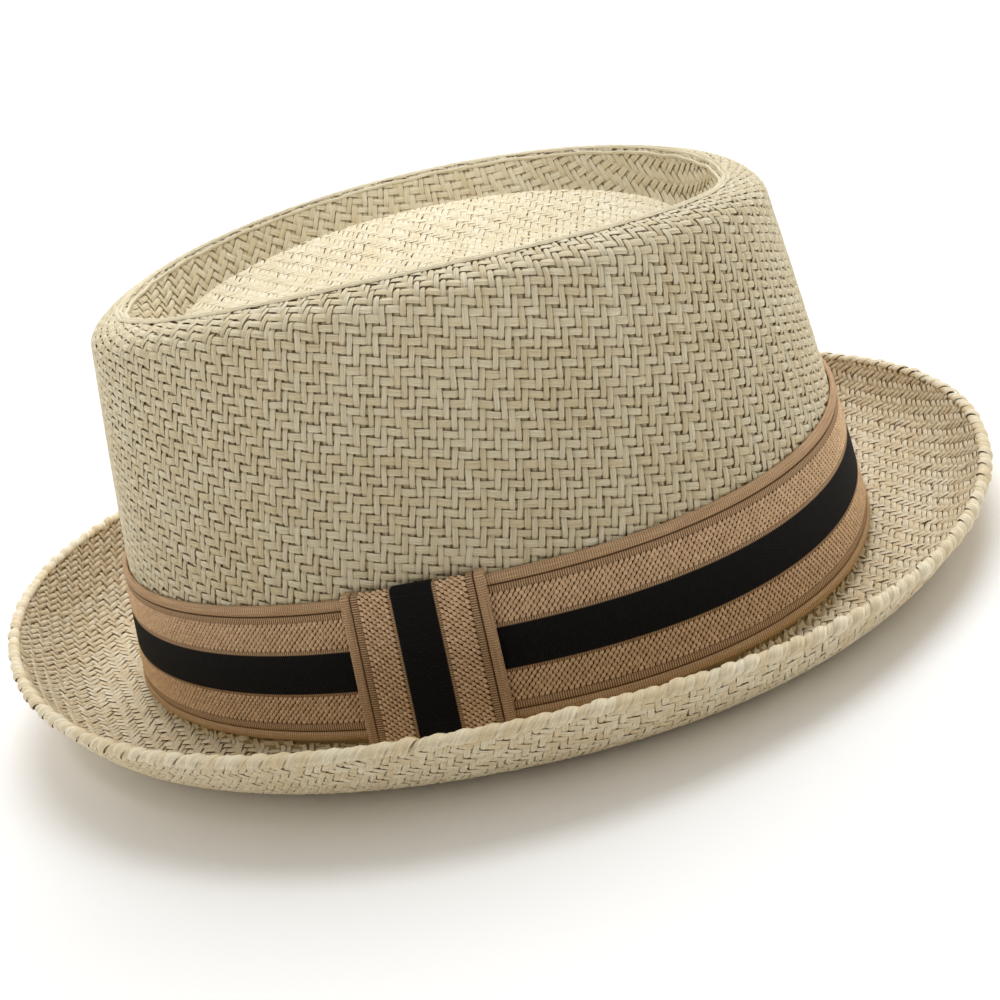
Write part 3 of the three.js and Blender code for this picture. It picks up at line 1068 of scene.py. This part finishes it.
webbing = {
    "width": 34.5 * mm,
    "thickness": 1.3 * mm,
    "seat": 0.3 * mm,  # clear gap between pieces that touch
    "arch": 0.6 * mm,  # how much higher the band lies at the sides than midway
    "keeperTurn": math.radians(-7.7),  # from the left side, and negative is towards the front
    # from an edge to the middle, and height over its back
    "section": [(0, 0.3), (0.2, 0.9), (0.8, 1.24), (1.6, 1.24), (2.2, 1.05), (2.5, 0.62), (2.75, 0.86),
                (4.3, 0.9), (4.45, 0.55), (11.45, 0.55), (11.6, 0.9), (12.2, 0.95), (12.5, 1.0),
                (17.2, 1.03)],
    "fields": (4.55 * mm, 23.1 * mm),  # where the two twilled fields begin
    "rows": 8,  # of floats in a field
    "rowPitch": 0.87 * mm,
    "floatPitch": 1.33 * mm,
    "rowShift": 0.8 * mm,
    "floatLength": 1.36 * mm,
    "floatWidth": 0.94 * mm,
    "floatHeight": 1.16 * mm,
    "floatEnds": 0.42 * mm,  # how much lower a float's ends are, and its edges
    "floatEdges": 0.3 * mm,
    "taper": 0.55,  # how much of its width a float loses at its ends
    "nudge": 0.01,  # a small turn, to measure slopes with
}
webbing["lower"] = form["breakRadius"] + 2 * webbing["seat"] + webbing["thickness"]


def overWall(up, out, turn):
    # a point so far up the crown's wall and so far out from it
    base = wallPoint(0, turn)
    run = wallPoint(1, turn) - base
    share = (up + webbing["arch"] * np.cos(2 * turn)) / np.linalg.norm(run, axis=-1)
    beside = wallPoint(share, turn + webbing["nudge"]) - wallPoint(share, turn - webbing["nudge"])
    return wallPoint(share, turn) + unit(np.cross(beside, run)) * np.reshape(out, (-1, 1))


def measured(points):
    steps = np.linalg.norm(np.diff(points, axis=0), axis=-1)
    return np.concatenate([[0], np.cumsum(steps)])


bandTurns = np.linspace(0, fullTurn, turnCount + 1)
bandMiddle = webbing["lower"] + webbing["width"] / 2
bandRun = measured(overWall(bandMiddle, webbing["seat"] + webbing["thickness"], bandTurns))


def bandPlace(along, across, height):
    # the band closes on the far side
    turn = np.interp(along % bandRun[-1], bandRun, bandTurns) + math.pi
    return overWall(webbing["lower"] + across, webbing["seat"] + height, turn)


def keeperTable():
    # the keeper's back on its way round the band: up, out, and the angle of its face
    inner = 2 * webbing["seat"] + webbing["thickness"]
    low = webbing["lower"] - webbing["seat"]
    high = webbing["lower"] + webbing["width"] + webbing["seat"]
    ups = [low, low, low, high, high, high]
    outs = [webbing["seat"], inner, inner, inner, inner, webbing["seat"]]
    angles = [math.pi, math.pi, math.pi / 2, math.pi / 2, 0, 0]
    leg = inner - webbing["seat"]
    corner = webbing["thickness"]
    run = np.cumsum([0, leg, corner, high - low, corner, leg])
    return run, ups, outs, angles


keeperRun, *keeperColumns = keeperTable()
besideKeeper = webbing["keeperTurn"] + np.array([-webbing["nudge"], webbing["nudge"]])
nearKeeper = overWall(webbing["width"] / 2, 2 * (webbing["seat"] + webbing["thickness"]), besideKeeper)
keeperReach = np.linalg.norm(nearKeeper[1] - nearKeeper[0]) / (2 * webbing["nudge"])


def keeperPlace(along, across, height):
    up, out, angle = (np.interp(along, keeperRun, column) for column in keeperColumns)
    turn = webbing["keeperTurn"] - (across - webbing["width"] / 2) / keeperReach
    return overWall(up + np.cos(angle) * height, out + np.sin(angle) * height, turn)


def webbingRing():
    # once round the webbing's section
    half = np.array(webbing["section"]) * mm
    other = half[::-1] * (-1, 1) + (webbing["width"], 0)
    back = [(webbing["width"] * share, 0) for share in (1, 0.75, 0.5, 0.25, 0)]
    return np.concatenate([half, other, back, half[:1]])


def makeWebbing(name, place, length, columns, closed, node, slot):
    ring = webbingRing()
    bm = bmesh.new()
    bmesh.ops.create_grid(bm, x_segments=columns, y_segments=len(ring) - 1, size=0.5)
    weave = bm.loops.layers.uv.new("weave")
    bake = bm.loops.layers.uv.new("OFBake")
    flat = np.array([vertex.co for vertex in bm.verts]) + 0.5
    across, height = ring[np.round(flat[:, 1] * (len(ring) - 1)).astype(int)].T
    points = place(flat[:, 0] * length * (1 if closed else 0.9999), across, height)
    for vertex, spot, side, point in zip(bm.verts, flat, across, points):
        vertex.co = point
        for loop in vertex.link_loops:
            loop[weave].uv = (spot[0] * length / mm, side / mm)
            loop[bake].uv = spot[:2]
    bmesh.ops.remove_doubles(bm, verts=bm.verts, dist=1e-6)
    if not closed:
        bmesh.ops.holes_fill(bm, edges=bm.edges, sides=0)
    bmesh.ops.recalc_face_normals(bm, faces=bm.faces)
    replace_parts(finishPiece(name, meshFrom(bm, name), slot, webbingPaint), node)


def repeatFaces(bm, count, step):
    # doubles what is there until there are enough, each a step from the last
    each = len(bm.faces)
    made = 1
    while made < count:
        more = min(made, count - made)
        bm.faces.ensure_lookup_table()
        copied = bmesh.ops.duplicate(bm, geom=bm.faces[: more * each])["geom"]
        points = [item for item in copied if isinstance(item, bmesh.types.BMVert)]
        bmesh.ops.translate(bm, verts=points, vec=Vector(step) * made)
        made += more


def makeYarns(name, place, length, margin, slot):
    # short slanting floats of yarn, in rows along the two fields
    columns = round((length - 2 * margin) / webbing["floatPitch"])
    rows = 2 * webbing["rows"]
    bm = bmesh.new()
    half = 0.4  # a float's half length on the flat, where each has a square of 1
    bmesh.ops.create_grid(bm, x_segments=3, y_segments=2, size=half)
    repeatFaces(bm, rows, (0, 1, 0))
    repeatFaces(bm, columns, (1, 0, 0))
    mesh = meshFrom(bm, name)
    flat = readPoints(mesh)
    column, row = np.round(flat[:, :2]).astype(int).T
    a, b = ((flat[:, :2] - np.stack([column, row], axis=-1)) / half).T
    draws = chance.random((4, columns * rows))[:, column * rows + row]
    slant = math.atan2(webbing["rowPitch"], webbing["rowShift"])
    pitch = (length - 2 * margin) / columns
    start = np.where(row < webbing["rows"], *webbing["fields"])
    stray = (draws[0] - 0.5) * 0.12 * mm
    centre = (column * pitch + row * webbing["rowShift"] + stray) % (length - 2 * margin)
    out = a * webbing["floatLength"] / 2
    aside = b * webbing["floatWidth"] / 2 * (1 - webbing["taper"] * a * a) * (0.92 + 0.16 * draws[1])
    along = margin + centre + out * math.cos(slant) - aside * math.sin(slant)
    across = start + (row % webbing["rows"] + 0.5) * webbing["rowPitch"]
    across = across + out * math.sin(slant) + aside * math.cos(slant)
    height = webbing["floatHeight"] - webbing["floatEnds"] * a * a - webbing["floatEdges"] * b * b
    height = height + (draws[2] - 0.5) * 0.06 * mm
    mesh.vertices.foreach_set("co", place(along, across, height).ravel())
    writeMap(mesh, "straws", np.stack([a / 12 + column, b / 2 + 0.5], axis=-1))
    writeFlatMap(mesh, flat)
    writeValue(mesh, "tone", draws[3])
    finishPiece(name, mesh, slot, yarnPaint)


webbingPaint = webbingMaterial()
yarnPaint = yarnMaterial()
makeWebbing("hat_band_webbing", bandPlace, bandRun[-1], 420, True, "hat_band", "band_webbing")
makeYarns("hat_band_yarns", bandPlace, bandRun[-1], 0, "band_webbing")
makeWebbing("band_keeper_webbing", keeperPlace, keeperRun[-1], 84, False, "band_keeper", "keeper_webbing")
makeYarns("band_keeper_yarns", keeperPlace, keeperRun[-1], 1 * mm, "keeper_webbing")
